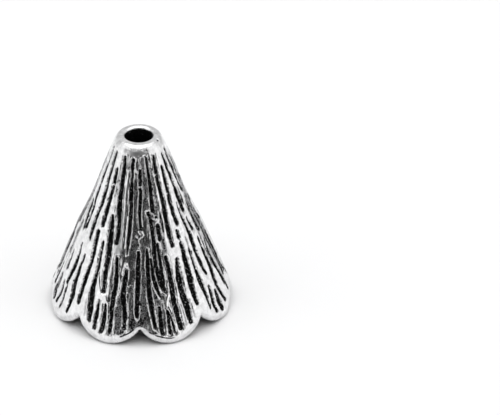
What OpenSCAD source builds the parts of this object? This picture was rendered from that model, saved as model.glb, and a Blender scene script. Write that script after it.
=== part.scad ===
/* [Cone] */
// Diameter of the straight cone where it would meet the table
base_d = 16.2; // [15:0.2:17]
// Height from the rim to the flat top
cone_h = 16.4; // [16:0.1:17]
// How far the outside draws in for each millimetre of height
taper = 0.368; // [0.35:0.002:0.38]
// Wall thickness, measured level
wall = 0.95; // [0.8:0.05:1.1]
// Radius of the rounded shoulder below the flat top
shoulder_r = 0.58; // [0.5:0.02:0.6]

/* [Cord hole] */
// Diameter of the hole through the top
hole_d = 2.5; // [2.2:0.1:2.7]
// Length of the straight hole, which is the thickness of the top
hole_len = 1.5; // [1.2:0.1:2]
// Bevel round the mouth of the hole
hole_bevel = 0.07; // [0.05:0.01:0.1]

/* [Scalloped rim] */
// Number of lobes round the rim
lobes = 8; // [8:1:8]
// Height of the notch between two lobes
notch_h = 1.35; // [1.2:0.05:1.5]
// Radius of the rounded lower edge
edge_r = 0.4; // [0.35:0.05:0.45]
// Height of the upright band above the rounded edge
band_h = 0.15; // [0.1:0.01:0.3]
// How much the lobes' tips are worn flat
land_h = 0.02; // [0.01:0.01:0.03]

/* [Grooves] */
// Depth of a groove as a share of its width
groove_depth = 0.6; // [0.4:0.05:0.7]
// Deepest that any groove is cut
groove_max = 0.3; // [0.2:0.02:0.36]
// Turn of the grooves against the notches, in degrees
groove_turn = 1; // [-2:0.5:2]
// Times that the groove chart repeats round the cone
groove_repeats = 2; // [2:1:2]

/* [Hidden] */
$fn = 96;

base_r = base_d / 2;
hole_r = hole_d / 2;
apex_z = base_r / taper;
half_angle = atan(taper);
roof_z = cone_h - hole_len;
past = 1;

function outer_r(z) = base_r - taper * z;
function slant(z) = (apex_z - z) / cos(half_angle);

// The shoulder is a circle that touches the flat top and the cone.
shoulder_run = shoulder_r * tan((90 - half_angle) / 2);
top_flat_r = outer_r(cone_h) - shoulder_run;
shoulder_foot_z = cone_h - shoulder_run * cos(half_angle);

// Each lobe is a disc that is tilted to lie along the cone's edge,
// from the tip of the lobe to the notch on each side of it.
notch_r = outer_r(notch_h);
notch_half_chord = notch_r * sin(180 / lobes);
notch_inset = base_r - notch_r * cos(180 / lobes);
lobe_tilt = 90 - atan2(notch_inset, notch_h);
lobe_rise = norm([notch_inset, notch_h]);
lobe_r = (notch_half_chord ^ 2 + lobe_rise ^ 2) / (2 * lobe_rise);
lobe_top_z = 2 * notch_h;

// Groove chart, charted by hand. Columns: angle at the top, sideways bow
// at mid height, angle at the foot, height of the top, height of the foot,
// width as an angle, and depth as a share of the full depth.
// Angles are in degrees from the front, heights in millimetres.
TOP_ANGLE = 0;
BOW = 1;
FOOT_ANGLE = 2;
TOP_Z = 3;
FOOT_Z = 4;
WIDTH = 5;
DEPTH = 6;
upper_grooves = [
    [-87.5, 0.5, -88.5, 14.7, 7.9, 4.2, 1],
    [-77, -0.4, -78.5, 15.7, 9.7, 4.2, 1],
    [-65.8, 0.4, -66, 15.7, 8.3, 3.8, 1],
    [-51.6, 1.6, -57, 15.7, 7.8, 4.2, 1],
    [-40.7, 0.2, -43, 14.6, 9.2, 3.8, 1],
    [-33.6, 0, -33.6, 15, 11.6, 4, 0.4],
    [-29.3, -0.2, -23.3, 15.8, 8.2, 4.6, 1],
    [-12.2, 0, -12.2, 15.5, 7.7, 3.2, 1],
    [0.3, 0.4, 0, 14.7, 9.5, 2.6, 1],
    [12.7, 0.7, 16, 15.7, 10.9, 4.2, 1],
    [28.7, 0.8, 32.3, 15.7, 7.8, 4.8, 1],
    [41, 0.7, 44, 14.6, 9.3, 4.6, 1],
    [51.5, 0.8, 59, 15.5, 10.2, 4.5, 1],
    [64, 0.5, 69, 15.6, 11.2, 4.4, 1],
    [73.5, 0.3, 74.5, 14.7, 12.2, 3.6, 1],
    [82, -0.4, 83.5, 15.7, 8.5, 4.6, 1],
];
middle_grooves = [
    [-82.5, 0.5, -81.5, 8.9, 2.9, 4.2, 1],
    [-72.5, 0, -72.5, 10.7, 8.3, 3.6, 1],
    [-72, 0, -72.5, 6.5, 4.2, 3.4, 1],
    [-64, 0.4, -66, 7.1, 3.9, 3.4, 1],
    [-47.3, 0.3, -47.3, 9.1, 2.5, 3.8, 1],
    [-38.2, -0.6, -36.2, 8.4, 1.6, 3.8, 1],
    [-32, 0, -29, 10.8, 4.2, 4.2, 1],
    [-21.5, 0.4, -20.7, 7.5, 1.2, 3, 1],
    [-11.3, 0, -13, 6.9, 4.3, 3.6, 1],
    [-2.8, 0, -2.4, 7.3, 2.4, 3.2, 1],
    [6.3, -1.5, 9.3, 8.1, 1.7, 3.1, 1],
    [9.8, 0, 11, 7.3, 4.2, 2.2, 0.6],
    [10.5, -1, 17, 11.1, 4.4, 3.6, 1],
    [19.8, 0, 19.8, 10, 8.5, 3.2, 0.8],
    [18.4, 0, 19, 8.3, 4.6, 2.8, 1],
    [23.5, 0, 25.7, 7.3, 1.2, 3.6, 1],
    [33.5, -1.2, 34.2, 6.9, 1.6, 4.2, 1],
    [41.7, -0.2, 42.5, 9.2, 2.5, 4, 1],
    [49.6, 0, 49.6, 8.6, 7.5, 2.4, 0.8],
    [49.8, -0.5, 53.5, 7.2, 1.7, 3.4, 1],
    [52, 0, 61, 11, 4.3, 3, 1],
    [62.8, 0, 63.2, 9.4, 8.2, 3, 1],
    [66.8, 0, 67.5, 7.5, 4.3, 3.8, 1],
    [72, 0, 72.5, 11, 7.7, 4, 1],
    [75, 0.4, 76, 6.9, 3.2, 4, 1],
    [84, -0.4, 85.5, 7.6, 2.7, 4, 1],
];
lower_grooves = [
    [-89, 0, -89, 6.8, 2.6, 3.4, 1],
    [-75, 0, -74.5, 3.7, 1.3, 3.2, 1],
    [-69.6, 0, -69.3, 3.3, 1.9, 2.4, 0.8],
    [-65.2, 0, -65, 3.5, 1.1, 2.8, 1],
    [-56.3, -0.5, -55.8, 6.5, 1.4, 3.4, 1],
    [-31.6, 0, -31.2, 3.8, 1.2, 2.2, 1],
    [-25.8, 0, -25.8, 3.6, 1.1, 2.4, 1],
    [-14.4, 0, -14, 4.2, 1.4, 7.4, 0.4],
    [13.2, 0, 13.5, 3.7, 1.1, 2.6, 1],
    [18.9, 0, 18.4, 3.3, 1.1, 2, 1],
    [21.2, 0, 21.6, 2.9, 1.1, 1.4, 1],
    [58, -0.3, 58, 3.7, 1.2, 2.8, 1],
    [63.5, 0, 64, 3.2, 1.2, 2.8, 1],
    [67.6, 0, 70, 3, 1.4, 2.6, 1],
    [78.5, 0, 79.5, 3.5, 1.6, 3, 1],
];
grooves = concat(upper_grooves, middle_grooves, lower_grooves);

// A groove's sides start a little inside its round ends.
waist = 0.96;

// Straight outside of the cone, with the hole and the hollow still to cut
module cone_profile() {
    polygon([
        [0, 0],
        [base_r, 0],
        [outer_r(shoulder_foot_z), shoulder_foot_z],
        [top_flat_r, cone_h],
        [0, cone_h],
    ]);
    translate([top_flat_r, cone_h - shoulder_r]) circle(r = shoulder_r);
}

// Hollow below the top, drawn as half of its section
module hollow_profile() {
    polygon([
        [0, -past],
        [outer_r(-past) - wall, -past],
        [outer_r(roof_z) - wall, roof_z],
        [0, roof_z],
    ]);
}

// Hole for the cord, with its bevelled mouth
module cord_hole() {
    translate([0, 0, roof_z - past]) cylinder(r = hole_r, h = hole_len + 2 * past);
    translate([0, 0, cone_h - hole_bevel])
        cylinder(r1 = hole_r, r2 = hole_r + 2 * hole_bevel, h = 2 * hole_bevel);
}

// Half section through a lobe: level underside, rounded edge, upright band.
// It is drawn from the disc's centre line in the disc's own tilted axes.
module lobe_profile() {
    band_top_z = edge_r - land_h + band_h;
    band_x = outer_r(band_top_z);
    lobe_axis_x = base_r - lobe_r * cos(lobe_tilt);
    lobe_axis_z = lobe_r * sin(lobe_tilt);
    inner_x = base_r - 2.4 * wall;
    reach = 2 * wall;
    intersection() {
        translate([0, -lobe_r]) square([2 * lobe_r, 2 * lobe_r]);
        rotate(lobe_tilt) translate([-lobe_axis_x, -lobe_axis_z]) {
            polygon([
                [inner_x, -land_h],
                [band_x - edge_r, -land_h],
                [band_x - edge_r, edge_r - land_h],
                [band_x, edge_r - land_h],
                [band_x, band_top_z],
                [band_x + reach, band_top_z + 2 * reach],
                [lobe_axis_x + reach, lobe_axis_z + reach],
                [lobe_axis_x - 2 * reach, lobe_axis_z - reach],
            ]);
            translate([band_x - edge_r, edge_r - land_h]) circle(r = edge_r);
        }
    }
}

// One lobe of the rim, as a disc tilted to the cone's edge
module lobe(angle) {
    rotate([0, 0, angle])
        translate([base_r - lobe_r * cos(lobe_tilt), 0, lobe_r * sin(lobe_tilt)])
        rotate([0, lobe_tilt, 0])
        rotate_extrude() lobe_profile();
}

// Everything that the scalloped rim leaves standing
module rim_outline() {
    for (i = [0 : lobes - 1]) lobe(-90 + (i + 0.5) * 360 / lobes);
    translate([0, 0, lobe_top_z]) cylinder(r = base_d, h = cone_h);
}

// A groove's floor plan on the flat that touches the cone along its middle.
// Its first axis runs down the cone from the apex.
module groove_plan(row) {
    middle = (row[TOP_ANGLE] + row[FOOT_ANGLE]) / 2;
    mid_z = (row[TOP_Z] + row[FOOT_Z]) / 2;
    half = row[WIDTH] / 2;
    top_half = outer_r(row[TOP_Z]) * sin(half);
    mid_half = outer_r(mid_z) * sin(half);
    foot_half = outer_r(row[FOOT_Z]) * sin(half);
    top_s = slant(row[TOP_Z]) + top_half;
    mid_s = slant(mid_z);
    foot_s = slant(row[FOOT_Z]) - foot_half;
    top_y = outer_r(row[TOP_Z]) * sin(row[TOP_ANGLE] - middle);
    mid_y = outer_r(mid_z) * sin(row[BOW]);
    foot_y = outer_r(row[FOOT_Z]) * sin(row[FOOT_ANGLE] - middle);
    polygon([
        [top_s, top_y - waist * top_half],
        [mid_s, mid_y - mid_half],
        [foot_s, foot_y - waist * foot_half],
        [foot_s, foot_y + waist * foot_half],
        [mid_s, mid_y + mid_half],
        [top_s, top_y + waist * top_half],
    ]);
    translate([top_s, top_y]) circle(r = top_half);
    translate([foot_s, foot_y]) circle(r = foot_half);
}

// The tool that cuts one groove into the cone
module groove_cutter(row) {
    middle = (row[TOP_ANGLE] + row[FOOT_ANGLE]) / 2;
    mid_width = 2 * outer_r((row[TOP_Z] + row[FOOT_Z]) / 2) * sin(row[WIDTH] / 2);
    depth = min(groove_max, groove_depth * mid_width) * row[DEPTH];
    rotate([0, 0, middle - 90])
        translate([0, 0, apex_z])
        rotate([0, 90 - half_angle, 0])
        translate([0, 0, -depth])
        linear_extrude(height = depth + past) groove_plan(row);
}

// The whole casting: hollow fluted cone with a scalloped rim
module end_cap() {
    color([0.72, 0.72, 0.73])
    difference() {
        intersection() {
            rotate_extrude() cone_profile();
            rim_outline();
        }
        rotate_extrude() hollow_profile();
        cord_hole();
        for (turn = [0 : groove_repeats - 1])
            for (row = grooves)
                rotate([0, 0, groove_turn + turn * 360 / groove_repeats])
                    groove_cutter(row);
    }
}

end_cap();
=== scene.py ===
import math

import bmesh
import bpy
import numpy as np
from mathutils import Matrix, Vector


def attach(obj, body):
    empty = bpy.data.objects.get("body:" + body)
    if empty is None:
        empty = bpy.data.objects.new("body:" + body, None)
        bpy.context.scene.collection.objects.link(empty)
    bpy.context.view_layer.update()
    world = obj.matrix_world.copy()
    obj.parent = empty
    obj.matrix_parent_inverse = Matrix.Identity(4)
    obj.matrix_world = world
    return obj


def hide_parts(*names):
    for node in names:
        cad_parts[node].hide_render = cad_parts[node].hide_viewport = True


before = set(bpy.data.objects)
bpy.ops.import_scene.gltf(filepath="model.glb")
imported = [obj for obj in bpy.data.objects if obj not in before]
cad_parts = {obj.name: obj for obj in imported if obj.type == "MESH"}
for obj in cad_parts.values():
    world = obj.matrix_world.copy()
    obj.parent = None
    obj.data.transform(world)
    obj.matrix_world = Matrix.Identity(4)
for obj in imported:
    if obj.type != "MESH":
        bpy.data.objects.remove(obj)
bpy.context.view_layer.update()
mm = 0.001
hair = 0.0001  # places closer than this count as touching, in millimetres

# Antique silver cord end cap, modelled in millimetres and scaled to metres at the end.
# Angles are degrees from the front (-Y), growing towards +X. Heights start at the rim.
# A flare is [from, to, size]: above it the cone stands further in by its size.
cap = {
    "coneRadius": 8.1, "taper": 0.368, "height": 16.4, "wall": 0.95,
    "flare": [[2, 7, 0.04], [7, 10.5, 0.16], [11.5, 13.5, -0.06]],
    "shoulder": 0.4, "shoulderTurn": 36, "slope": 2.2,
    "holeRadius": 1.21, "holeEdge": 0.16, "holeUneven": 0.6,
    "roof": 14.9, "roofEdge": 0.05, "roofCorner": [0.1, 0.12],
    "panels": 90, "panelCuts": 15, "spinError": 0.002, "rowStep": 0.05, "innerStep": 0.5,
    "arcSteps": 8, "topCuts": 1, "boreCuts": 24, "levelCuts": 3, "triangles": 188000,
}
rim = {
    "lobes": 8, "notchHeight": 1.39, "edge": 0.34, "innerEdge": 0.12, "liftReach": 4.0,
    # The band shade is painted shade: the upright band is darkened a little in colour.
    "bandTip": 0.25, "bandNotch": 0.1, "notchFrom": 0.35, "bandEdge": [-0.08, 0.02], "bandShade": 0.12,
    "blend": 0.05, "blendReach": 0.6, "footReach": 0.5, "footSlope": 0.2,
    "creases": [[-14, -4], [9, 22]], "creaseEnds": [1, 2], "crease": 0.03,
    "creaseAbove": 0.05, "creaseWidth": 0.07, "creaseCore": 0.3,
    "underside": [0.3, 0.55], "carvedFrom": 0.15,
}
# The widenings are [from, to, size] too: higher up, higher up in front, and a last one that
# is taken off again, high at the sides.
groove = {
    "turn": 0.5, "repeats": 2, "front": [20, 42], "sideCalm": 0.5, "reach": [6, 0.4],
    "depthPerWidth": 0.6, "depthFrom": 0.08, "deepest": 0.27,
    "footDepth": 0.4, "footRamp": 0.6, "footEnd": [0.1, 0.5], "footTarnish": 0.04, "footBurrLoss": 0.6,
    "widen": 0.012, "widenings": [[3, 6, 0.023], [5, 8, 0.03], [8, 11, 0.015]],
    "softEdge": [-0.28, 0.04, 0.045], "steepEdge": [-0.06, 0.12],
    "tarnishEdge": [-0.05, 0.07], "tarnishDrift": 0.04,
    # The shade is painted shade: the ridges' flanks next to each groove are darkened in colour.
    "shade": 0.24, "shadeEdge": [-0.2, -0.02], "shadeSpread": [-0.4, 0.6],
    "shadeRise": [4, 7], "shadeLow": 0.3,
    "burr": 0.05, "burrEdge": [-0.15, -0.07, 0], "burrSpread": [-0.6, 0.5],
    "wobble": 0.15, "wobbleLength": 1.2, "wobbleSeed": 100,
    "swell": 0.1, "swellLength": 0.84, "swellSeed": 200,
    "raggedness": 0.036, "coarse": 0.8, "bridge": 0.12,
    "wireWidth": 0.075, "wireCore": 0.1, "wireLift": 0.04, "wireWobble": 0.2, "wireReach": [3, 0.1],
}

# Groove chart. Columns: height of the top, height of the foot, share of full depth, then
# angles and widths as angles, both at even steps from the top down to the foot.
upperGrooves = [
    [14.7, 7.9, 1, [-87.5, -87.4, -88.5], [3, 4.2, 3]],
    [15.7, 8.3, 1, [-75, -72.5, -72, -72.5, -68.9, -67.6], [4, 4.6, 5, 4.6, 3.8, 2.4]],
    [10.6, 9.4, 0.9, [-78, -76, -75], [2.4, 3.5, 2.4]],
    [9.3, 8.1, 1, [-74.2, -73.8, -71.5], [2.6, 4, 2.8]],
    [15.55, 7.8, 1, [-56.5, -55.7, -56, -55.5, -56.5, -57, -56.2], [4.4, 5, 5.2, 6.2, 4.6, 3.8, 2]],
    [14.3, 9.3, 1, [-42.8, -42.5, -43.6, -44.6, -44.2], [3, 5, 5.3, 5.2, 3.4]],
    [15, 11.5, 0.2, [-35, -34.2, -34.2], [4, 6, 5]],
    [15.45, 8.3, 1, [-30.5, -28.8, -27.8, -27.7, -26.2, -23.8, -23.5], [3.6, 5.6, 5.4, 5.4, 5.2, 3.6, 1.7]],
    [15.35, 7.7, 1, [-12.4, -12, -11.9, -11.2, -10.9, -11.7, -12.3], [3.4, 4, 3.8, 3.2, 2.6, 1.9, 1.6]],
    [14.5, 9.6, 1, [1.8, 2.2, 1.5, 0.2, 1], [1.8, 2.8, 3.3, 2.6, 2]],
    [15.5, 11.4, 0.45, [7, 8.5, 9.3, 9], [4, 4.4, 5, 5.4]],
    [15.6, 10.9, 1, [14.8, 15.6, 16.6, 17, 17.3], [3, 4.6, 5, 5, 3]],
    [14.9, 11.1, 0.5, [22.3, 22.5, 23.2, 24.8], [1.4, 2, 2.2, 1.4]],
    [15.5, 7.8, 1, [32.6, 32.1, 32.8, 33.8, 33, 32.5, 33.2], [3.8, 4.6, 4, 5.2, 4.4, 4.4, 2.4]],
    [14.45, 9.3, 1, [46.6, 45.9, 44.9, 44.5, 45.9], [3.2, 5.6, 5.8, 4, 3.6]],
    [15.35, 9.9, 1, [57.8, 58.7, 60.5, 61.7, 62], [4, 5, 5.2, 6.6, 3]],
    [15.5, 11.3, 1, [73, 71.8, 74, 77], [4.4, 4.8, 4.6, 3.4]],
    [14.7, 12.2, 1, [84, 84.5, 85], [3, 4, 3]],
    [13.5, 5.5, 0.5, [80, 80.5, 81, 82], [2.4, 3, 3.4, 3]],
    [12, 3, 0.5, [87.5, 88, 88.5], [3, 4, 3]],
    [10.5, 4.5, 0.5, [72.5, 72, 73], [1.4, 2.4, 2]],
    [10.5, 4.5, 0.3, [-81, -81.5, -82.5], [1.6, 2, 1.6]],
    [9.5, 4, 0.3, [-77, -77.5, -78.5], [1.2, 1.6, 1.2]],
]
middleGrooves = [
    [8.5, 5.3, 0.45, [-80.5, -81, -81], [3, 4, 3]],
    [6, 4.2, 0.7, [-74.2, -73.6, -73.3], [2, 3.2, 2]],
    [7.1, 3.3, 1, [-65, -63.8, -63.3, -65.4, -66.2], [1.4, 2.4, 3.2, 4, 2.4]],
    [8.9, 2.5, 1, [-47.8, -46.7, -46, -47.3, -47.9, -48], [3.6, 3.4, 2.6, 3.2, 3.6, 2.2]],
    [8.2, 1.5, 1, [-38.1, -37.9, -38, -38.6, -37.1, -36], [1.4, 2.4, 2.3, 4, 4.6, 2.2]],
    [10.5, 4.2, 1, [-34.2, -32, -30.4, -30, -30.3, -28.7], [1.8, 4.6, 4.2, 3.3, 3.4, 2.4]],
    [7.4, 1.1, 1, [-21.4, -20.2, -19.7, -20.9, -20.5, -20.2], [1.6, 2, 2.8, 3.1, 2.5, 1.6]],
    [6.4, 4.2, 1, [-11.2, -11.9, -12.7, -13], [2.4, 2.8, 3.4, 4]],
    [7.9, 2.5, 1, [-1, -1.5, -2.1, -2.5, -2.3], [1.4, 2.6, 3.2, 2.9, 1.8]],
    [8.1, 1.5, 1, [6.8, 6.8, 6.7, 7, 8.3, 9.5], [1, 1.7, 2.4, 3.2, 2.9, 1.6]],
    [7.3, 4.1, 0.9, [9.8, 11, 15], [1, 2, 2.6]],
    [11, 4.2, 1, [10.8, 13.2, 13.8, 13.8, 14.2, 15.9, 18.8], [2.4, 3.4, 3.2, 2.7, 2.7, 2.8, 2.2]],
    [9.9, 8.6, 0.9, [21.1, 21, 20.8], [2.4, 3.4, 2.4]],
    [8.4, 4.5, 0.8, [18, 18.4, 18.7, 19.3], [1.6, 2.5, 2.6, 1.4]],
    [7.3, 1.1, 1, [23.9, 25, 25.4, 25, 26, 26.6], [2, 2.8, 4.2, 4.4, 3.6, 2.4]],
    [6.9, 1.3, 1, [34.7, 32.7, 32.6, 34, 34.6], [1.8, 4.2, 4.3, 4.2, 2.2]],
    [9, 2.5, 1, [42.3, 42.6, 42.7, 42.4, 42.2, 42.8], [2.6, 3.6, 4, 4.2, 4.2, 1.8]],
    [8.2, 7.2, 0.4, [50.7, 50.8, 50.7], [1.4, 1.8, 1.4]],
    [7.2, 1.6, 1, [50.6, 50.7, 51.6, 52.7, 53.4], [1.8, 2.3, 4.6, 2.8, 1.4]],
    [11, 4.3, 1, [55, 56, 57.6, 57.2, 58.2, 60.6], [2, 2.5, 3.3, 3.3, 3.4, 2.2]],
    [9.4, 8.2, 0.9, [63.5, 64.1, 64.7], [1.8, 3, 2.2]],
    [7.4, 2.9, 1, [67.5, 68, 68.3, 68.2, 67.4], [2.4, 3, 3.4, 4.2, 3.4]],
    [10.9, 7.6, 1, [78, 76, 75.5, 75.5], [2.8, 3.8, 4, 3.2]],
    [6.8, 2.2, 1, [78, 76, 76.8, 78.4, 79.4], [2.4, 3.4, 4, 3, 2]],
    [7.6, 2.7, 1, [84, 85, 85.5], [3, 4, 3]],
]
lowerGrooves = [
    [6.8, 2.6, 1, [-89, -89, -89], [2.6, 3.4, 2.6]],
    [4.3, 2, 0.7, [-84, -84.3, -85], [2.5, 4, 3]],
    [3.6, 2.1, 0.5, [-77.5, -77.5, -77.5], [4, 5, 4]],
    [2, 1.1, 0.7, [-76, -76, -76.5], [2, 3, 2]],
    [3.4, 1.3, 0.9, [-70.6, -69.2, -70.8], [1.8, 2.8, 1.6]],
    [3.4, 1.1, 0.7, [-64.8, -64.4, -65.2], [2, 2, 1.6]],
    [6.5, 1.3, 1, [-55.4, -56.7, -57, -55.7, -56.2], [1.6, 2.1, 4, 3.5, 1.6]],
    [3.5, 1.9, 0.35, [-41.6, -40.9, -40.3], [0.8, 1, 0.8]],
    [3.55, 1.05, 1, [-31.2, -31.2, -31.1], [1.4, 2.7, 2]],
    [3.35, 0.95, 1, [-25.7, -25.2, -25.9], [1.2, 2.8, 2]],
    [4.3, 1.3, 0.5, [-15, -15.6, -15], [3, 4.8, 4.2]],
    [4.4, 1.5, 1, [-13.6, -12, -11.1, -10.8], [4.2, 3.4, 2.7, 1.8]],
    [3.35, 1, 1, [13.6, 13.5, 13.9], [1.4, 2.5, 2]],
    [3.6, 1.7, 0.5, [16.2, 16.2, 16.2], [1, 1.6, 1.2]],
    [3.2, 0.95, 1, [19.6, 19.2, 19.1], [1.2, 2.1, 1.8]],
    [3, 1, 1, [20.6, 21.6, 22.1], [1, 1.6, 1.4]],
    [3.2, 1.45, 0.35, [29.6, 30.5, 31], [0.8, 1, 1.2]],
    [3.4, 1.7, 0.35, [36.8, 37.6, 38.4], [1.2, 1.4, 1.2]],
    [3.5, 1.05, 1, [58.4, 58, 57.6, 58.4], [1.6, 3, 3.5, 2.2]],
    [2.8, 0.85, 1, [63.6, 63.8, 64.4], [2.6, 4.6, 3]],
    [2.9, 1.2, 0.9, [67.3, 69.6, 71.2], [2.6, 3.3, 2]],
    [3.5, 1.5, 1, [81, 81.5, 82], [2.4, 3, 2.4]],
]
chart = upperGrooves + middleGrooves + lowerGrooves

# Small bridges of metal across grooves, rough patches between them, and pads that swell
# out. Columns: angle, height, half width as an angle, half height, then the amount: a
# share of the full bridge or roughness, or a pad's lift.
bridges = [
    [1.5, 13.05, 3.5, 0.12, 1], [-43, 12.85, 3, 0.07, 1], [-44.5, 10.9, 1.5, 0.07, 1],
    [-44.5, 10.45, 1.5, 0.08, 1], [31, 13.88, 3, 0.08, 1], [44, 12.05, 3, 0.1, 1],
    [62, 12.4, 3, 0.08, 1], [-72, 12.15, 4, 0.12, 1], [-69.5, 9.95, 2, 0.1, 1],
    [42.8, 8.1, 2.5, 0.2, 1], [50.7, 5.25, 2, 0.08, 1], [-38, 7.45, 1.5, 0.07, 1],
    [-20.5, 7.35, 1.8, 0.08, 1],
]
roughPatches = [
    [18, 10.5, 7, 0.6, 1],
    [0.5, 8.9, 4.5, 0.8, 0.35],
    [-34.5, 13, 3, 1.7, 0.5],
    [-9, 5.4, 2.5, 0.4, 0.6],
    [13.5, 3.7, 4, 0.4, 0.7],
    [-17, 11.5, 2, 2.6, 0.35],
    [-24.5, 5.6, 2.4, 1.7, 0.35],
]
pads = [
    [-3.5, 14.9, 5.5, 0.7, 0.075],
    [-19, 14.9, 5, 0.7, 0.06],
    [23.5, 15.2, 3.5, 0.6, 0.05],
]
# Thin raised lines of bright metal, as points of angle and height.
wires = [
    [[-33.5, 15.5], [-30.6, 15.68], [-27, 15.7], [-24.5, 15.5], [-23.2, 15.1], [-22, 14.4]],
    [[6.6, 15.5], [9.3, 15.65], [13.7, 15.68], [17.6, 15.5]],
    [[31, 15.6], [27.8, 15.25], [26.3, 14.5], [25.3, 13.9]],
    [[12, 15.5], [12.3, 15.2], [13.2, 14.5], [13.7, 13.8], [13.6, 13], [13.9, 12.1],
     [13.2, 11.25], [10.4, 11.08], [8.2, 11.14]],
    [[10, 10.65], [11.3, 9.7], [11.7, 8.9], [11.6, 8.06]],
    [[-8.9, 14.5], [-7.6, 13.8]],
    [[-13.6, 10.6], [-13.6, 9.6], [-14, 8.6], [-12.9, 7.5]],
    [[-8, 10.4], [-8.6, 9.4], [-9.6, 8.5], [-11, 7.6]],
    [[-0.6, 12.7], [-1.4, 12.1], [-2, 11.2], [-1.7, 10.5], [-0.8, 9.75]],
    [[5.4, 12.6], [4.6, 12], [3, 11.2], [2.4, 10.6], [3.2, 9.9]],
    [[2.6, 9.5], [4, 9.23], [1.5, 9.02], [-0.9, 8.85], [-0.6, 8.66], [0.9, 8.45], [-1, 8.18]],
    [[-1.6, 9.5], [0.6, 9.25]],
    [[-3.8, 9.14], [-2.1, 9.03]],
    [[-3.9, 5.4], [-4.3, 4.4], [-4.4, 3.4], [-4.5, 2.9], [-3.7, 2.5],
     [-2.4, 2.32], [-1.2, 2.45], [-0.4, 2.9], [-0.4, 3.5]],
    [[-10.3, 4.7], [-10.6, 4.4], [-9.2, 3.8], [-8.7, 3], [-8.7, 2.1],
     [-9.1, 1.5], [-11.6, 1.16], [-14.7, 1]],
    [[-17.6, 1.3], [-17.7, 2.2], [-18.6, 2.9], [-18.1, 3.7], [-17.2, 4.3], [-16.5, 4.5]],
    [[-18.4, 4.1], [-16.4, 4.3]],
    [[-14.7, 5.96], [-13.7, 6.6], [-12.2, 6.95], [-10.4, 6.95], [-9.4, 6.5], [-9.6, 5.7]],
    [[-19.2, 7.28], [-18.4, 6.7], [-17.4, 6.08], [-16.4, 5.45], [-16.6, 4.7]],
    [[4.5, 4.3], [5.6, 3.6], [6.2, 3], [7.2, 2.4], [8.1, 1.65], [10, 1.4], [12.3, 1.1]],
    [[12.4, 6.4], [13, 5.75], [14.6, 5], [17, 4.46], [19.6, 4.2]],
    [[9.7, 5.18], [11.3, 4.66], [14.4, 4]],
    [[21.8, 4.7], [21.1, 4.2], [18.9, 3.6], [18.8, 3.1], [20.3, 2.86]],
    [[19.3, 3.2], [21.9, 2.3], [22.9, 1.66], [23.1, 1.2]],
    [[-35.9, 5.7], [-33.1, 4.7], [-30.7, 4.08], [-29, 4], [-26.4, 4.04], [-25.3, 3.6]],
]
# Matte patches of unpolished metal, in the same columns as the bridges. The last one is painted shade down
# the right side.
mattesAndShade = [
    [-6, 15.85, 32, 0.3, 0.5],
    [-4.5, 14.3, 4, 0.9, 0.1],
    [-37, 12.6, 4, 2.4, 0.15],
    [-21, 9, 3, 3, 0.6],
    [12, 4, 5, 1.2, 0.25],
    # painted shade: a broad grey band down the right side, near the outline
    [84, 8.5, 8, 6.5, 1],
]
# Dark stains on the ridges, in the same columns, with an amount of tarnish. The last one is painted shade
# down the right side.
stainsAndShade = [
    [1, 11.8, 9, 2.6, 0.46],
    [2, 14.2, 8, 1.2, 0.42],
    [18, 10.4, 6.5, 0.8, 0.3],
    [-35, 12, 2, 1.8, 0.2],
    [16, 3.4, 3, 1.2, 0.24],
    [11.2, 4.6, 2.6, 0.8, 1],
    [-16, 3.1, 3.5, 1.7, 0.5],
    [20.6, 7.5, 1.8, 0.6, 0.7],
    [-23.5, 5.6, 2, 1.6, 0.44],
    [26, 9.9, 2.6, 1.2, 0.7],
    [23.8, 8.4, 3, 1.2, 0.7],
    [5.5, 15.2, 3, 0.6, 0.7],
    [-17.5, 13.4, 2.4, 1.6, 0.42],
    [8.3, 1.3, 5, 0.3, 0.6],
    [-13, 1.25, 4, 0.3, 0.6],
    [67.5, 11.2, 3, 1, 0.55],
    [74, 7.3, 3, 1.2, 0.36],
    [74, 14.3, 5, 1.6, 0.6],
    [-78, 1.9, 3, 0.8, 0.5],
    [8.5, 13.2, 3.5, 2.2, 0.46],
    [-17, 11.5, 2.5, 2.6, 0.36],
    [-4, 8.6, 9, 2, 0.46],
    [0, 5, 8, 2.5, 0.41],
    [-1, 2.8, 7, 1.6, 0.5],
    [-5, 2, 4, 0.8, 0.52],
    [-16.5, 7.7, 2.5, 0.5, 0.48],
    # painted shade: a broad grey band down the right side, near the outline
    [84, 8.5, 9, 6.5, 0.36],
]
# Skin of the polished metal. Waves are [across as an angle, along, size, seed].
skin = {
    "waves": [[7, 0.9, 0.012, 21], [1.5, 1.3, 0.008, 22], [2.2, 0.35, 0.004, 23]],
    "calmFrom": 15.2, "calm": 0.3, "patchEdge": [0.5, 1.1], "blotchy": 0.55,
    "squiggle": 0.065, "squiggleTarnish": [0.1, 0.7],
    "pitAngle": 64.5, "pitRadius": 1.785, "pitSize": 0.13, "pitCore": 0.3, "pitDepth": 0.09,
    "pitShown": 0.02,
}
# Mottled band round the front of the shoulder, and the dark bore behind the hole's edge.
collar = {
    "angles": [-38, 26], "ends": 6, "foot": [15.62, 15.7], "top": [15.98, 16.08], "wavy": 0.13,
    "lift": 0.026, "tarnish": [0.06, 0.26], "tarnishSpread": [-0.3, 0.7],
}
bore = {
    "reach": [0.06, 0.1], "ragged": 0.07, "tarnishFrom": 0.12, "tarnishEdge": [-0.04, 0.12],
    "roofReach": 0.03, "darkFrom": 0.15,
}
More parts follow.
